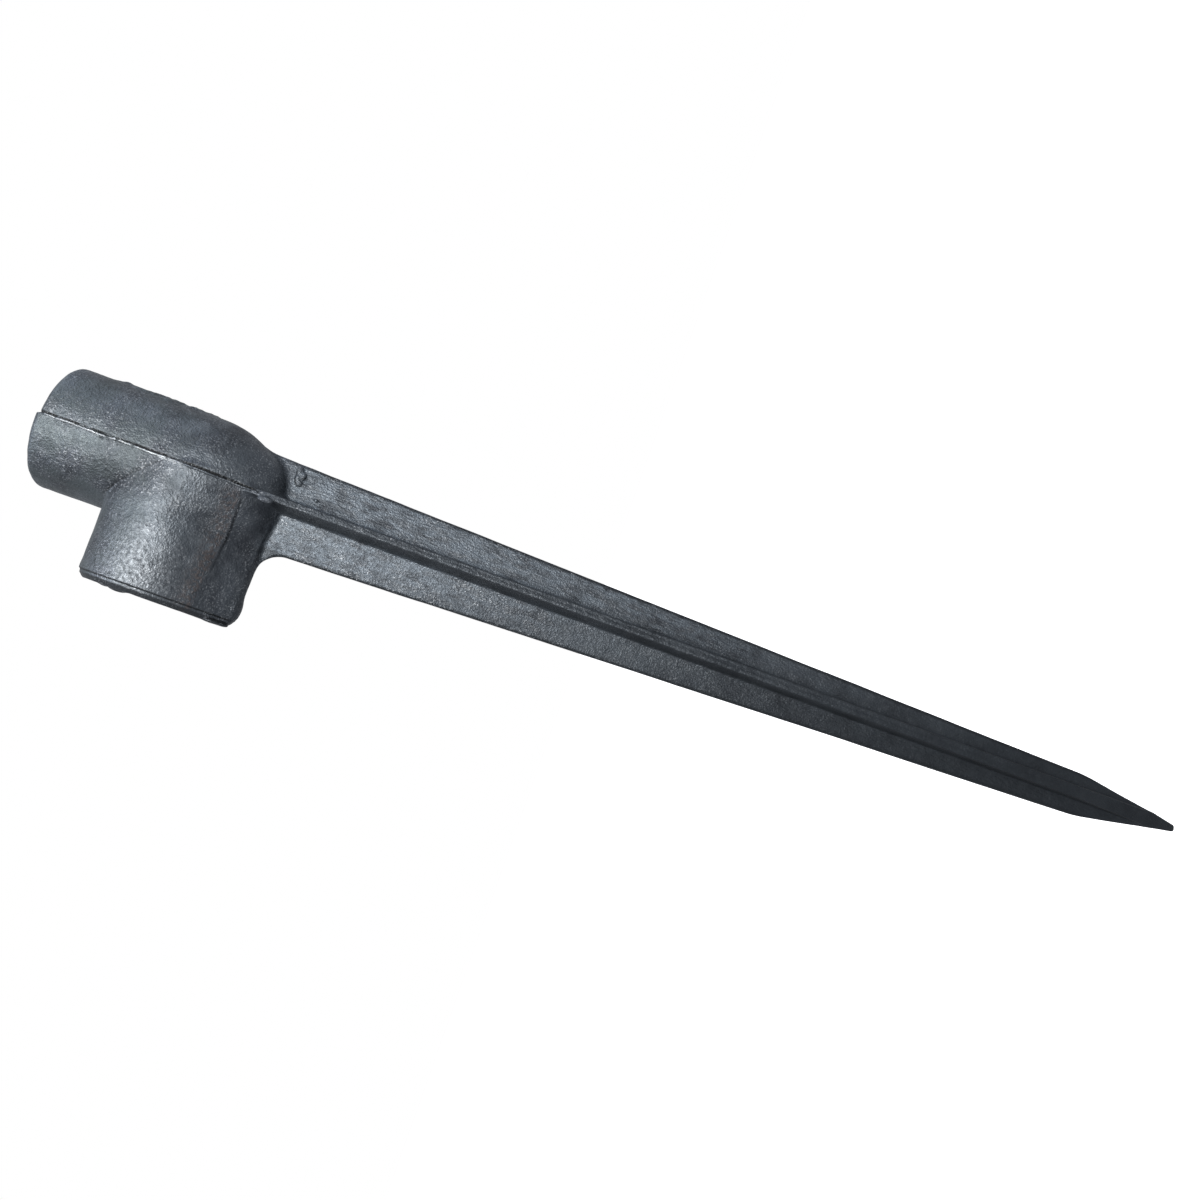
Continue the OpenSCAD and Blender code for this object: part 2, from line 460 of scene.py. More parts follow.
beads = [  # place, half-lengths, blend
    ((-1.3, -13.1, 1.0), (0.9, 0.9, 2.3), 0.25),  # drip beside the front ridge
    ((10.7, -1.6, -2.0), (1.3, 0.7, 0.9), 0.4),  # sand break-out under the dome
    ((9.6, -1.7, -3.4), (1.1, 0.6, 0.8), 0.4),
    ((8.6, -1.7, -2.2), (1.2, 0.7, 0.8), 0.4),
    ((7.4, -1.7, -3.0), (0.9, 0.65, 0.9), 0.4),
    ((4.5, -1.9, -9.0), (0.5, 0.5, 0.6), 0.2),
    ((-30.4, 0.0, 0.9), (3.4, 3.0, 1.7), 0.8),  # swelling under the heel
    ((-35.7, -13.6, 27.3), (0.75, 1.2, 2.6), 0.3),  # lumps on the inlet rim
    ((-35.6, -12.5, 31.0), (0.6, 1.2, 1.6), 0.3),
    ((-35.5, -4.5, 4.6), (0.6, 2.2, 2.2), 0.6),
    ((-35.4, -3.0, 1.9), (0.6, 1.8, 1.6), 0.6),
    ((-33.6, -5.8, 9.4), (1.3, 0.45, 0.55), 0.2),  # where the witness line curls at the inlet rim
]
pits = [
    ((-0.75, -17.4, 44.4), (0.3, 0.5, 1.2), 0.15),  # beside the flash
    ((-12.4, -17.5, 21.0), (0.5, 0.6, 0.6), 0.2),
]


def ellipsoid(field, g, place, half_lengths, blend, combine):
    """Blends one ellipsoid into the field, or out of it."""
    part = g.near(place, [h + 2 * blend + 0.6 for h in half_lengths])
    if min(s.stop - s.start for s in part) < 2:
        return
    x, y, z = np.ix_(*[a[s] - p for a, s, p in zip(g.axes, part, place)])
    a, b, c = half_lengths
    lump = (np.sqrt((x / a) ** 2 + (y / b) ** 2 + (z / c) ** 2) - 1) * min(half_lengths)
    field[part] = combine(field[part], lump, blend)


def burnt_patch(g):
    """How far the burnt-on sand stands out on the side away from the inlet."""
    inside = 1 - (g.y / 8.0) ** 2 - ((g.z - 38.0) / 15.5) ** 2
    cover = np.clip(inside * 3, 0, 1) * np.clip(g.x / 4 - 2, 0, 1)
    return cover * (0.30 + 0.34 * lumps(g, 2.2, 12) + 0.2 * lumps(g, 1.1, 13))


# %% [markdown]
# ## Where the shapes meet
#
# The inlet meets the column in a tight corner above its axis and a wide fillet below it. Where its
# pattern was fixed to the column's there is a fine crease. The two sockets have the same radius, so
# this crease climbs at 45 degrees. Along the parting line, just beyond the edge that slipped, runs
# a shallow gap that wanders a little.

# %% Fillet, crease and gap

saddle_tight = 0.3
saddle_wide = 2.5
seam_depth = 0.2
seam_half = 0.3
seam_rise = 2.3  # the crease starts this far above the inlet's axis
groove_depth = 0.3
groove_half = 0.26


def saddle_fillet(g):
    """Radius of the corner between the inlet and the column."""
    return saddle_tight + saddle_wide * np.clip((inlet_z + 2 - g.z) / 6, 0, 1)


def seam_crease(g):
    """Depth of the crease between the inlet and the column."""
    seam = np.exp(-((g.x + g.z - inlet_z - seam_rise) / seam_half) ** 2)
    return seam_depth * seam * np.clip(-g.x - 0.6, 0, 1) * np.clip((15 + g.x) / 3, 0, 1)


def parting_gap(g):
    """Depth of the gap along the parting line."""
    wander = 0.3 + 0.1 * np.sin(g.z / 1.7) + 0.08 * np.sin(g.z / 0.63 + 1)
    return groove_depth * np.exp(-((g.x - wander) / groove_half) ** 2) * np.clip((g.z - 3) / 3, 0, 1)


# %% [markdown]
# ## The whole casting
#
# The head and the spike are joined with a fillet, the waterway is cut out, and the noise roughens
# the outside. The bores stay true, because they are cut by a tap after casting. The spike's noise
# is drawn out along its length, the way the pattern dragged the sand as it was lifted out.

# %% Put the casting together

spike_blend = 1.5
bore_edge = 0.25
head_grain = [(0.06, 5.0, 3), (0.045, 1.9, 5), (0.02, 0.9, 8)]  # height and size in mm, and seed
spike_grain = [(0.06, (4.0, 4.0, 14.0), 4), (0.03, (1.7, 1.7, 4.5), 6)]


def grain(g, layers):
    """Unevenness built up from layers of lumps."""
    return sum(height * lumps(g, size, seed) for height, size, seed in layers)


def casting(g):
    """Signed distance to the skin of the casting."""
    left = inlet_half(g.x)
    slid = SimpleNamespace(x=g.x, y=g.y + slip_forward * left, z=g.z)
    column = upright_column(slid)
    block = inlet_block(slid)
    body = round_corner(column, block, saddle_fillet(g))
    body = body + seam_crease(g)
    body = join(body, spike(slid), spike_blend)
    body = body + parting_gap(g)
    on_head = np.clip((g.z + 10) / 10, 0, 1)
    body = body + on_head * grain(g, head_grain)
    body = body + (1 - on_head) * grain(g, spike_grain)
    if g.z[0, 0, -1] > inlet_z:
        body = body - burnt_patch(g)
        body = cut_away(body, waterway(g), bore_edge)
    for place, half_lengths, blend in beads:
        ellipsoid(body, g, place, half_lengths, blend, join)
    for place, half_lengths, blend in pits:
        ellipsoid(body, g, place, half_lengths, blend, cut_away)
    return body


# %% [markdown]
# ## From the field to a skin
#
# The mesher puts one point in each cell of the grid that the skin passes through, and joins them
# with four-sided faces. The head and the spike are meshed apart, because the spike can do with
# layers three times as far apart. Both grids have the same lines near the cut between them.

# %% Mesh the head and the spike


def skin_mesh(g, field):
    """Points in metres and four-sided faces on the field's zero surface."""
    level = openvdb.FloatGrid()
    level.background = 3.0
    level.copyFromArray(np.ascontiguousarray(field, dtype=np.float32))
    points, quads = level.convertToQuads(isovalue=0.0)
    places = [np.interp(points[:, i], np.arange(len(a)), a) for i, a in enumerate(g.axes)]
    return np.stack(places, 1) * MM, quads[:, ::-1]


margin = 1.6
step = 0.25
split_z = -2.0
fine_end_z = split_z - 14
flare_room = 6
head_grid = Grid(lines(inlet_x - margin, socket_r + margin, step),
                 lines(-socket_r - margin, socket_r + margin, step),
                 lines(split_z - 2, outlet_z + margin, step))
head_field = casting(head_grid)
head_points, head_quads = skin_mesh(head_grid, head_field)
print(f"head: {len(head_quads)} faces")

fine_lines = lines(fine_end_z, split_z + 2, step)
tip_end_z = tip_z + 5
tip_lines = lines(tip_z - margin, tip_end_z, step)
coarse_lines = lines(tip_end_z, fine_lines[0], 3 * step)
between = (coarse_lines > tip_lines[-1] + step) & (coarse_lines < fine_lines[0] - step)
spike_grid = Grid(lines(-fin_top_reach - margin - flare_room, fin_top_reach + margin, step),
                  lines(-fin_top_reach - margin, fin_top_reach + margin, step),
                  np.concatenate([tip_lines, coarse_lines[between], fine_lines]))
spike_points, spike_quads = skin_mesh(spike_grid, casting(spike_grid))
print(f"spike: {len(spike_quads)} faces")

# %% [markdown]
# ## Into separate pieces
#
# The library needs the casting's features as separate pieces, one for each part of the CAD frame.
# The skin is made in one go and sawn along flat planes afterwards, so that the two sides of each
# saw cut share the same edge and no seam shows. The cut edges are marked sharp, which keeps the
# flat cut faces from bending the shading of the skin next to them.
#
# A cut through a socket has two rims, the outside and the bore, and a patch over the outer rim
# alone would block the bore. So the whole cut is divided into triangles first. For each one, the
# rim lines that lie to one side of it are counted: an odd count means iron, and the triangle
# stays. An even count means air.
#
# One fault is still open. A few edges of a cut are left without a face, and the next cut through
# the same piece takes them for its own rim, so long stray faces cross the bores of the elbow and
# the inlet socket. Keeping only the open edges that lie in the plane of the cut should cure it.
# The last print counts the edges that don't have exactly two faces.

# %% Saw the casting into pieces


def solid_from(points, quads):
    """A bmesh of the closed skin."""
    data = bpy.data.meshes.new("skin")
    data.from_pydata(points, [], quads)
    bm = bmesh.new()
    bm.from_mesh(data)
    bpy.data.meshes.remove(data)
    if bm.calc_volume(signed=True) < 0:
        bmesh.ops.reverse_faces(bm, faces=bm.faces)
    return bm


def saw_side(bm, spot, outward):
    """Removes what lies beyond the plane and closes the cut, leaving bores open."""
    everything = bm.verts[:] + bm.edges[:] + bm.faces[:]
    bmesh.ops.bisect_plane(bm, geom=everything, plane_co=spot, plane_no=outward, clear_outer=True)
    rim = [e for e in bm.edges if e.is_boundary]
    corners = list({v: None for e in rim for v in e.verts})
    number = {v: i for i, v in enumerate(corners)}
    in_plane = [i for i in range(3) if abs(outward[i]) < 0.5]
    flat = [Vector([v.co[i] / MM for i in in_plane]) for v in corners]
    sides = [(number[e.verts[0]], number[e.verts[1]]) for e in rim]
    patch, _, triangles, origins, _, _ = delaunay_2d_cdt(flat, sides, [], 0, 1e-9)
    patch = np.array(patch)
    start = np.array([flat[i] for i, _ in sides])
    end = np.array([flat[j] for _, j in sides])
    for triangle in triangles:
        u, v = patch[list(triangle)].mean(0)
        crossed = (start[:, 1] > v) != (end[:, 1] > v)
        a, b = start[crossed], end[crossed]
        at = a[:, 0] + (v - a[:, 1]) * (b[:, 0] - a[:, 0]) / (b[:, 1] - a[:, 1])
        if np.count_nonzero(at > u) % 2 == 0:
            continue  # outside the iron, or in a bore
        face = bm.faces.new([corners[origins[i][0]] for i in triangle])
        face.normal_update()
        if face.normal.dot(outward) < 0:
            face.normal_flip()
    for edge in rim:
        edge.smooth = False
    return bm


def saw(bm, axis, place):
    """Splits a closed piece at a height in millimetres along an axis: (lower part, upper part)."""
    outward = Vector([1.0 if i == axis else 0.0 for i in range(3)])
    spot = outward * place * MM
    lower = saw_side(bm.copy(), spot, outward)
    upper = saw_side(bm, spot, -outward)
    return lower, upper


# %% Make the cuts

X, Y, Z = 0, 1, 2
heel_cut_z = inlet_z - thread_major_r - 0.6
cut_pieces = {}

head = solid_from(head_points, head_quads)
head = saw(head, Z, split_z)[1]
lower, cut_pieces["outlet_socket"] = saw(head, Z, socket_joint_z)
side, middle = saw(lower, X, inlet_high[0])
cut_pieces["heel_web"], cut_pieces["inlet_socket"] = saw(side, Z, heel_cut_z)
cut_pieces["shoulder"], cut_pieces["elbow_body"] = saw(middle, Z, shoulder_top_z)

blade = solid_from(spike_points, spike_quads)
blade = saw(blade, Z, split_z)[0]
cut_pieces["spike_point"], fins = saw(blade, Z, fin_end_z)
rest, cut_pieces["fin_outer"] = saw(fins, X, core_half)
cut_pieces["fin_inlet_side"], rest = saw(rest, X, -core_half)
cut_pieces["fin_front"], rest = saw(rest, Y, -core_half)
cut_pieces["spike_core"], cut_pieces["fin_back"] = saw(rest, Y, core_half)

# %% [markdown]
# ## Flash on the parting line
#
# Iron creeps into the gap between the two mould halves and leaves a thin fin. It is knocked off
# with a hammer, so what stays is a ragged line: a low ridge nearly everywhere, and a few stretches
# where more of it is left. It is a separate strip here, laid on the skin along the parting plane.

# %% Lay the flash

flash_high = 0.62
flash_low = 0.2
flash_half = 0.24
flash_sunk = 0.4
flash_bottom_z = 3.5
flash_top_z = outlet_z - 2.2
ring_step = 0.4
left_standing = {  # heights between which more of it is left, on the -Y and +Y side
    -1: [(51.4, 55.6), (45.6, 49.4), (38.3, 41.5), (29.1, 33.6), (14.0, 22.0), (5.0, 9.0)],
    1: [(50.0, 57.0), (36.0, 44.5), (24.0, 30.0), (8.0, 17.0)],
}


def skin_reach(height, side):
    """How far out the skin is just on the inlet side of the parting plane, at -Y or +Y."""
    g = head_grid
    i = int(np.searchsorted(g.axes[0], -0.3))
    k = int(np.searchsorted(g.axes[2], height))
    column = head_field[i, ::-side, k]
    place = g.axes[1][::-side]
    j = int(np.argmax(column < 0))
    part = column[j - 1] / (column[j - 1] - column[j])
    return abs(float(place[j - 1] + part * (place[j] - place[j - 1])))


def flash_strip(bm, side, seed):
    """One ragged strip of flash up the head, on the -Y or +Y side."""
    rng = np.random.default_rng(seed)
    heights = np.arange(flash_bottom_z, flash_top_z, ring_step)
    proud = np.full(len(heights), flash_low)
    for low, high in left_standing[side]:
        within = np.clip(np.minimum(heights - low, high - heights) / 0.5, 0, 1)
        proud = np.maximum(proud, flash_high * within)
    proud = proud * rng.uniform(0.65, 1.0, len(heights))
    sway = 0.06 * np.cumsum(rng.uniform(-1, 1, len(heights)))
    sway = np.clip(sway - np.linspace(0, sway[-1], len(heights)), -0.2, 0.2)
    rings = []
    for z, up, shift in zip(heights, proud, sway):
        reach = skin_reach(z, side)
        outline = [(-2.4, -flash_sunk), (-1.3, up * 0.5), (-0.4, up), (0.6, up * 0.8), (0.8, -0.1),
                   (0.8, -flash_sunk)]
        rings.append([bm.verts.new(Vector((x * flash_half + shift, side * (reach + out), z)) * MM)
                      for x, out in outline])
    count = len(rings[0])
    for ring, following in zip(rings, rings[1:]):
        for i in range(count):
            j = (i + 1) % count
            bm.faces.new((ring[i], ring[j], following[j], following[i]))
    bm.faces.new(rings[0])
    bm.faces.new(rings[-1])


flash = bmesh.new()
flash_strip(flash, -1, 21)
flash_strip(flash, 1, 34)
bmesh.ops.recalc_face_normals(flash, faces=flash.faces)
cut_pieces["parting_flash"] = flash
print("pieces:", {name: len(bm.faces) for name, bm in cut_pieces.items()})
open_edges = {name: sum(len(e.link_faces) != 2 for e in bm.edges) for name, bm in cut_pieces.items()}
print("edges without exactly two faces:", open_edges)

# %% [markdown]
# ## Colours and nodes
#
# Hex colours are written the way a colour picker shows them, in sRGB. Blender's shaders add light
# up linearly, so each one is turned to linear first.

# %% Colour and node helpers


def colour(hex_code):
    """Linear RGBA of an sRGB hex colour."""
    parts = [int(hex_code[i:i + 2], 16) / 255 for i in (1, 3, 5)]
    linear = [c / 12.92 if c <= 0.04045 else ((c + 0.055) / 1.055) ** 2.4 for c in parts]
    return (*linear, 1.0)


def add(tree, kind, inputs=None, **settings):
    """Adds a node. Inputs are values or other nodes' output sockets, by name or number."""
    node = tree.nodes.new(kind)
    for name, value in settings.items():
        setattr(node, name, value)
    for name, value in (inputs or {}).items():
        if isinstance(value, bpy.types.NodeSocket):
            tree.links.new(value, node.inputs[name])
        else:
            node.inputs[name].default_value = value
    return node


# %% [markdown]
# ## Black cast iron
#
# Grey iron comes out of green sand with a thin dark skin of oxide and burnt-on sand, blackened
# with oil so that it doesn't rust on the shelf. The skin is a dull metal: dark, rough, with a
# grain as fine as the sand. Where the castings rub on each other in the tumbler and the crate, the
# tops of the grain are polished and catch the light as pale specks. These specks are painted into
# the colour, so they are partly polished grain and partly painted glints. In the sockets the tap
# has cut through the skin to bright iron.
#
# A painted picture could carry all this, but it would need a flat layout of every piece. Here each
# kind of wear, and each painted highlight and painted shade, is a mask, worked out from the place
# on the casting and from noise. A mask is a product of ramps: each ramp is zero at its first value
# and one at its second.

# %% Masks


def mask(tree, strength, *ramps):
    """A factor from 0 to strength, where every (value, zero at, one at) ramp is up."""
    factor = strength
    for value, zero_at, one_at in ramps:
        ramp = add(tree, "ShaderNodeMapRange", {"Value": value, "From Min": zero_at, "From Max": one_at})
        product = add(tree, "ShaderNodeMath", {0: ramp.outputs["Result"], 1: factor},
                      operation="MULTIPLY")
        factor = product.outputs[0]
    return factor


# %% [markdown]
# The masks read object coordinates, which are the casting's own metres, so they run across the
# saw cuts without a break. From them come the place in millimetres and the distance from the axis
# of each socket.

# %% Places on the casting

iron = bpy.data.materials.new("black_cast_iron")
iron.use_nodes = True
tree = iron.node_tree
shader = tree.nodes["Principled BSDF"]
place = add(tree, "ShaderNodeTexCoord").outputs["Object"]
mm = add(tree, "ShaderNodeVectorMath", {0: place, 1: (1000, 1000, 1000)}, operation="MULTIPLY").outputs[0]
drawn = add(tree, "ShaderNodeVectorMath", {0: mm, 1: (1, 1, 0.3)}, operation="MULTIPLY").outputs[0]
axes = add(tree, "ShaderNodeSeparateXYZ", {0: mm})
x, y, z = axes.outputs[0], axes.outputs[1], axes.outputs[2]
from_outlet_axis = add(tree, "ShaderNodeVectorMath", {0: mm, 1: (1, 1, 0)}, operation="MULTIPLY").outputs[0]
outlet_r = add(tree, "ShaderNodeVectorMath", {0: from_outlet_axis}, operation="LENGTH").outputs["Value"]
from_inlet_axis = add(tree, "ShaderNodeVectorMath", {0: mm, 1: (0, 1, 1), 2: (0, 0, -inlet_z)},
                      operation="MULTIPLY_ADD").outputs[0]
inlet_r = add(tree, "ShaderNodeVectorMath", {0: from_inlet_axis}, operation="LENGTH").outputs["Value"]

# %% [markdown]
# The real grain of the sand is about 0.2 mm, too fine to show. It is drawn about 0.45 mm wide. The
# others are patches of darker skin from 1 to 11 mm, and streaks and scratches drawn out along the
# spike, where the castings slide over each other.

# %% Noise

noise = {}  # name, size in mm, detail and the space it is read in
for name, size, detail, space in [("clouds", 11.0, 3.0, mm), ("blotches", 2.6, 2.0, mm),
                                  ("grit", 0.95, 2.0, mm), ("sand", 0.45, 2.0, mm),
                                  ("patches", 7.0, 2.0, mm), ("streaks", 1.3, 4.0, drawn),
                                  ("scratches", 0.5, 2.0, drawn)]:
    node = add(tree, "ShaderNodeTexNoise", {"Vector": space, "Scale": 1 / size, "Detail": detail})
    noise[name] = node.outputs["Fac"]

# %% [markdown]
# Rubbing brightens what stands out: the tops of the grain, whose pale specks are partly painted
# glints, and the flat on the outer side. Painted highlights lighten the front of the inlet near its
# mouth, the two edges of the front fin's land, and the crest of the flash.

# %% Rubbed places and painted highlights

on_spike = (z, 3.0, -4.0)
# pale specks: grain tops polished by rubbing, and painted glints where they would catch the light
rubbed_and_glints = mask(tree, 1.0, (noise["sand"], 0.55, 0.70), (noise["patches"], 0.40, 0.60), (z, -190, -40))
up_outer_side = add(tree, "ShaderNodeVectorMath", {0: mm, 1: (5, 0, 1)},
                    operation="DOT_PRODUCT").outputs["Value"]
scuffed = mask(tree, 1.0, (noise["streaks"], 0.42, 0.60), on_spike, (up_outer_side, -150, -70),
               (y, -8.0, -3.5), (y, 8.0, 3.5))
# painted highlight: a pale patch on the front of the inlet near its mouth, where the soft box's highlight
# falls
from_highlight_spot = add(tree, "ShaderNodeVectorMath", {0: mm, 1: (-30, -16.5, 23.5)},
               operation="DISTANCE").outputs["Value"]
inlet_highlight = mask(tree, 0.5, (from_highlight_spot, 15, 3), (noise["grit"], 0.30, 0.62))
from_middle = add(tree, "ShaderNodeMath", {0: x}, operation="ABSOLUTE").outputs[0]
# painted highlight: two thin pale lines along the edges of the front fin's land
fin_edge_highlight = mask(tree, 0.7, (from_middle, 0.45, 0.65), (from_middle, 1.2, 0.95), (y, -8.0, -9.0),
                 (z, 4.0, 1.0), (noise["grit"], 0.44, 0.52), (z, -230, -150))
# painted highlight: a pale crest along the flash on the head
flash_crest_highlight = mask(tree, 0.85, (from_middle, 0.75, 0.55), (outlet_r, socket_r + 0.2, socket_r + 0.38),
                   (z, 22, 28), (noise["grit"], 0.36, 0.48))

# %% [markdown]
# Shade is painted dark into what lies deep: the corner between the sockets, the gap along the
# parting line, where dirt also sits, the witness line, the crease, the inlet's lip, which faces away
# from the light, and the step behind the lip.

# %% Painted shade in corners and lines

thread_edge_r = thread_major_r + 0.4
line_z = witness_z - witness_fall
seam_z = inlet_z + seam_rise
# painted shade: darker in the corner between the inlet and the column
from_corner = add(tree, "ShaderNodeVectorMath", {0: mm, 1: (-6.5, -15.5, 37.0)},
                  operation="DISTANCE").outputs["Value"]
corner_shade = mask(tree, 0.45, (from_corner, 11, 3))
# dirt held in the step along the parting line, and painted shade in its gap
parting_groove_dirt_and_shade = mask(tree, 0.95, (x, -0.05, 0.15), (x, 0.9, 0.6), (z, 2.0, 5.0),
                         (noise["blotches"], 0.25, 0.45))
above_witness = add(tree, "ShaderNodeVectorMath", {0: mm, 1: (-witness_fall / inlet_x, 0, 1)},
                    operation="DOT_PRODUCT").outputs["Value"]
# painted shade: a dark line along the witness line
witness_line_shade = mask(tree, 0.75, (above_witness, line_z - 0.5, line_z - 0.1),
                       (above_witness, line_z + 0.5, line_z + 0.1), (x, -2.0, -4.0), (x, -26, -14))
along_seam = add(tree, "ShaderNodeVectorMath", {0: mm, 1: (1, 0, 1)},
                 operation="DOT_PRODUCT").outputs["Value"]
# painted shade: a dark line along the crease between the inlet and the column
seam_shade = mask(tree, 0.55, (along_seam, seam_z - 0.5, seam_z - 0.1),
               (along_seam, seam_z + 0.5, seam_z + 0.1), (x, -0.5, -2.0), (x, -15, -12),
               (noise["blotches"], 0.25, 0.45))
lip_shadow = mask(tree, 0.7, (x, inlet_x + 1.6, inlet_x + 1.2),
                  (inlet_r, thread_edge_r, thread_major_r + 1.0))
# painted shade: a thin dark line in the step behind the inlet's lip
lip_step_shade = mask(tree, 0.75, (x, inlet_x + 1.8, inlet_x + 2.0), (x, inlet_x + 2.45, inlet_x + 2.25),
                     (inlet_r, thread_major_r + 1.0, thread_major_r + 2.0))

# %% [markdown]
# Shade is painted over the front fin, and along the edges of the outer and inlet-side fins, which
# turn away from the light. The spike also gets darker towards the tip. The tapped bores are the
# only bright iron.

# %% Painted shade on the fins, and cut threads

# painted shade over the front fin beyond its core, fading out towards the tip
front_fin_shade = mask(tree, 0.5, (y, -3.2, -4.5), (z, 3.0, -3.0), (z, -240, -60))
at_outer_edge = add(tree, "ShaderNodeVectorMath", {0: mm, 1: (1, 0, -fin_taper)},
                    operation="DOT_PRODUCT").outputs["Value"]
at_inlet_edge = add(tree, "ShaderNodeVectorMath", {0: mm, 1: (-1, 0, -fin_taper)},
                    operation="DOT_PRODUCT").outputs["Value"]
# painted shade: dark bands along the edges of the outer and inlet-side fins, where the edge turns away from
# the light
outer_edge_shade = mask(tree, 0.75, on_spike, (at_outer_edge, fin_top_reach - 1.2, fin_top_reach - 0.6))
inlet_edge_shade = mask(tree, 0.65, on_spike, (at_inlet_edge, fin_top_reach - 0.9, fin_top_reach - 0.3))
tapped_outlet = mask(tree, 1.0, (outlet_r, thread_edge_r, thread_major_r + 0.1), (z, 44, 45.5))
tapped_inlet = mask(tree, 1.0, (inlet_r, thread_edge_r, thread_major_r + 0.1), (x, -18, -19.5))

# %% [markdown]
# The colours are laid over each other in order, each with its mask. Black iron is never quite
# black: the bare skin is a cool dark grey, with lighter clouds, a little green where the oil is
# thick, a little brown where rust has started, and pale grey where it is rubbed. Among them lie
# painted highlights and painted shade, which stand for the light of the soft box.

# %% Colours

tone = colour("#2f3338")
for factor, hex_code in [
    (mask(tree, 1.0, (noise["clouds"], 0.35, 0.65)), "#454b51"),
    (mask(tree, 0.35, (noise["blotches"], 0.45, 0.75)), "#5d6267"),
    # greenish oil on the socket
    (mask(tree, 0.3, (z, 18, 34), (noise["patches"], 0.62, 0.4)), "#475050"),
    # light rust above the witness line
    (mask(tree, 0.3, (above_witness, line_z + 0.2, line_z + 1.0),
          (above_witness, line_z + 5.5, line_z + 2.5), (x, 0, -4), (noise["grit"], 0.42, 0.58)), "#5a4a40"),
    # darker band round the dome, where it meets the spike
    (mask(tree, 0.25, (z, 12.0, 6.0), (z, -3.0, 0.0)), "#272b33"),
    (scuffed, "#4b5259"),
    (inlet_highlight, "#787e84"),
    (corner_shade, "#1f2326"),
    (fin_edge_highlight, "#5b6167"),
    (parting_groove_dirt_and_shade, "#131517"),
    (flash_crest_highlight, "#8c9195"),
    (witness_line_shade, "#15181b"),
    (seam_shade, "#15181b"),
    (lip_shadow, "#1c1f22"),
    (lip_step_shade, "#131517"),
    (outer_edge_shade, "#16191c"),
    (inlet_edge_shade, "#16191c"),
    # darker towards the tip
    (mask(tree, 0.8, on_spike, (up_outer_side, -50, -215)), "#22262a"),
    (front_fin_shade, "#1e2226"),
    (mask(tree, 0.35, (rubbed_and_glints, 0, 1)), "#a0a5aa"),
    (tapped_outlet, "#8a8d90"),
    (tapped_inlet, "#8a8d90"),
]:
    tone = add(tree, "ShaderNodeMix", {"Factor": factor, 6: tone, 7: colour(hex_code)},
               data_type="RGBA").outputs[2]
tree.links.new(tone, shader.inputs["Base Color"])
shader.inputs["Metallic"].default_value = 0.85

# %% [markdown]
# Rough iron scatters light widely, and the oily low places are a little rougher still than the
# rubbed ones. The bump holds only what is too fine for the mesh: sand grain everywhere, grit on the
# head, and scratches on the spike. The distance is the depth of that relief in metres.

# %% Roughness and bump

roughness = add(tree, "ShaderNodeMapRange", {"Value": noise["grit"], "From Min": 0.3, "From Max": 0.7,
                                             "To Min": 0.60, "To Max": 0.46})
tree.links.new(roughness.outputs["Result"], shader.inputs["Roughness"])

height = 0.0
for part in [mask(tree, 0.55, (noise["sand"], 0, 1)), mask(tree, 0.7, (noise["grit"], 0, 1), (z, -40, 5)),
             mask(tree, 0.8, (noise["scratches"], 0, 1), on_spike)]:
    height = add(tree, "ShaderNodeMath", {0: height, 1: part}, operation="ADD").outputs[0]
bump = add(tree, "ShaderNodeBump", {"Height": height, "Strength": 0.75, "Distance": 0.00045})
tree.links.new(bump.outputs["Normal"], shader.inputs["Normal"])
print("cast iron:", len(tree.nodes), "nodes")

# %% [markdown]
# ## The pieces as Blender objects
#
# Each sawn piece becomes an object that stands for the CAD node of the same name.

# %% Make the objects


def place_piece(name, bm):
    """Turns a bmesh into a smooth-shaded piece that replaces its CAD node."""
    data = bpy.data.meshes.new(name)
    bm.to_mesh(data)
    bm.free()
    data.polygons.foreach_set("use_smooth", [True] * len(data.polygons))
    data.materials.append(iron)
    piece = bpy.data.objects.new("cast_" + name, data)
    bpy.context.scene.collection.objects.link(piece)
    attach(piece, "root")
    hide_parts(name)


for name, bm in cut_pieces.items():
    place_piece(name, bm)
print("placed", len(cut_pieces), "pieces")

# %% [markdown]
# ## Floor, light and camera
#
# The floor is a plain pale sheet at the level of the tip. It glows a little by itself, like a light
# table, so it stays white in any view and needs no lamp of its own. One soft box hangs in front of
# the head, so the light falls off along the spike, and an even pale room fills the shadows. The
# camera stands close with a wide lens, which makes the near socket look larger than the tip.

# %% Floor

floor_size = 6.0
half = floor_size / 2
floor_z = cad_box[0][2]
floor_data = bpy.data.meshes.new("floor")
floor_data.from_pydata([(-half, -half, floor_z), (half, -half, floor_z), (half, half, floor_z),
                        (-half, half, floor_z)], [], [(0, 1, 2, 3)])
floor = bpy.data.objects.new("floor", floor_data)
bpy.context.scene.collection.objects.link(floor)
floor_mat = bpy.data.materials.new("pale_floor")
floor_mat.use_nodes = True
floor_shader = floor_mat.node_tree.nodes["Principled BSDF"]
floor_shader.inputs["Base Color"].default_value = colour("#f4f4f4")
floor_shader.inputs["Roughness"].default_value = 0.9
floor_shader.inputs["Specular IOR Level"].default_value = 0.1
floor_shader.inputs["Emission Color"].default_value = colour("#ffffff")
floor_shader.inputs["Emission Strength"].default_value = 0.85
floor_data.materials.append(floor_mat)
floor.visible_diffuse = False
floor.visible_glossy = False

# %% Lights


def softbox(name, spot, aim, size, watts, hex_code):
    """A square area light at spot that faces aim."""
    lamp = bpy.data.lights.new(name, "AREA")
    lamp.energy = watts
    lamp.size = size
    lamp.color = colour(hex_code)[:3]
    lamp_object = bpy.data.objects.new(name, lamp)
    lamp_object.location = spot
    facing = Vector(aim) - Vector(spot)
    lamp_object.rotation_euler = facing.to_track_quat("-Z", "Y").to_euler()
    bpy.context.scene.collection.objects.link(lamp_object)
    print(f"{name}: {watts} W, {size / MM:.0f} mm wide")


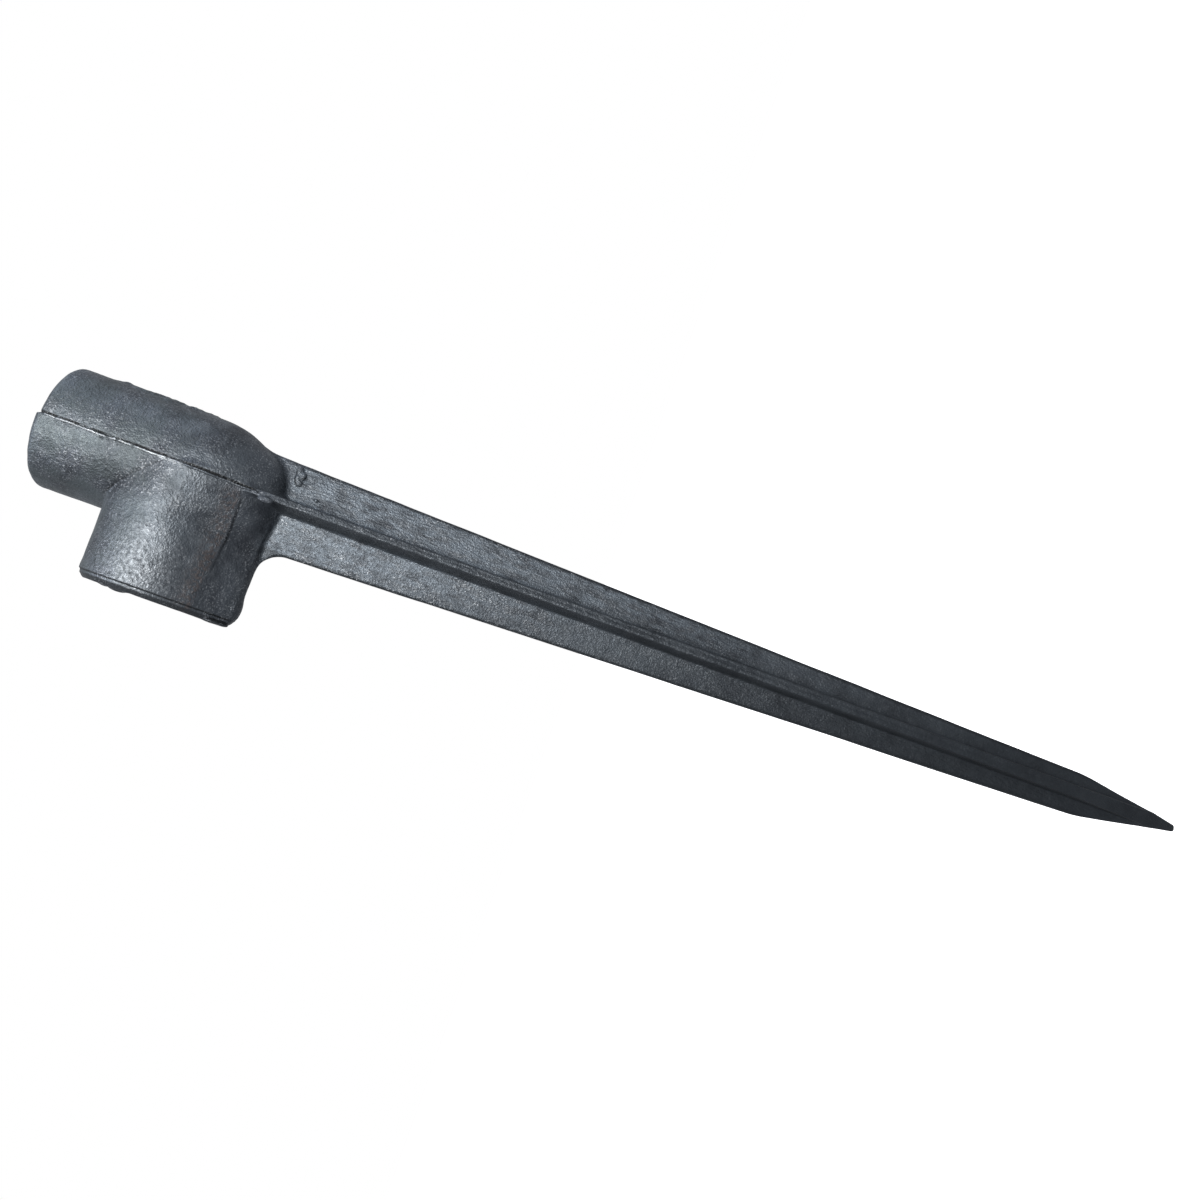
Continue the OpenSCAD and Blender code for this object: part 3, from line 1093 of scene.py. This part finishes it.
softbox("key", (-0.06, -0.40, 0.135), (-0.01, 0, 0.01), 0.15, 3.9, "#fffaf4")
softbox("window", (0.45, -0.10, 0.40), (0, 0, 0), 0.40, 1.7, "#e8f0ff")
softbox("fill", (-0.16, -0.20, 0.42), (-0.02, 0, 0.02), 0.25, 1.6, "#f2f4ff")

world = bpy.data.worlds.new("studio")
bpy.context.scene.world = world
world.use_nodes = True
room = world.node_tree
room.nodes.clear()
seen = add(room, "ShaderNodeLightPath").outputs["Is Camera Ray"]
glow = add(room, "ShaderNodeMix", {"Factor": seen, 6: (0.65, 0.66, 0.69, 1), 7: (1.0, 1.0, 1.0, 1)},
           data_type="RGBA").outputs[2]
backdrop = add(room, "ShaderNodeBackground", {"Color": glow, "Strength": 1.0}).outputs[0]
add(room, "ShaderNodeOutputWorld", {"Surface": backdrop})
bpy.context.scene.view_settings.view_transform = "Standard"

# %% Camera

distance = 0.3158
aim = Vector((0.00573, 0.0, -0.0912))
turned = math.radians(7.28)  # round the spike, towards the inlet side
tilted = math.radians(3.40)
rolled = math.radians(-19.93)

right, down, ahead = Vector((0, 0, -1)), Vector((-1, 0, 0)), Vector((0, 1, 0))
turn = Matrix.Rotation(-turned, 3, "Z") @ Matrix.Rotation(tilted, 3, down)
right, down, ahead = turn @ right, turn @ down, turn @ ahead
right, down = (math.cos(rolled) * right + math.sin(rolled) * down,
               math.cos(rolled) * down - math.sin(rolled) * right)
camera_data = bpy.data.cameras.new("camera")
camera_data.sensor_width = 36.0
camera_data.lens = 34.02
camera_data.clip_start = 0.01
camera = bpy.data.objects.new("camera", camera_data)
basis = Matrix((right, -down, -ahead)).transposed().to_4x4()
camera.matrix_world = Matrix.Translation(aim - ahead * distance) @ basis
bpy.context.scene.collection.objects.link(camera)
bpy.context.scene.camera = camera

# %% [markdown]
# ## Sizes, and the end
#
# The blended casting must stay as large as the CAD model says. The CAD model's box is printed.

# %% Print the CAD box

print("CAD box", [[round(v / MM, 2) for v in c] for c in cad_box])
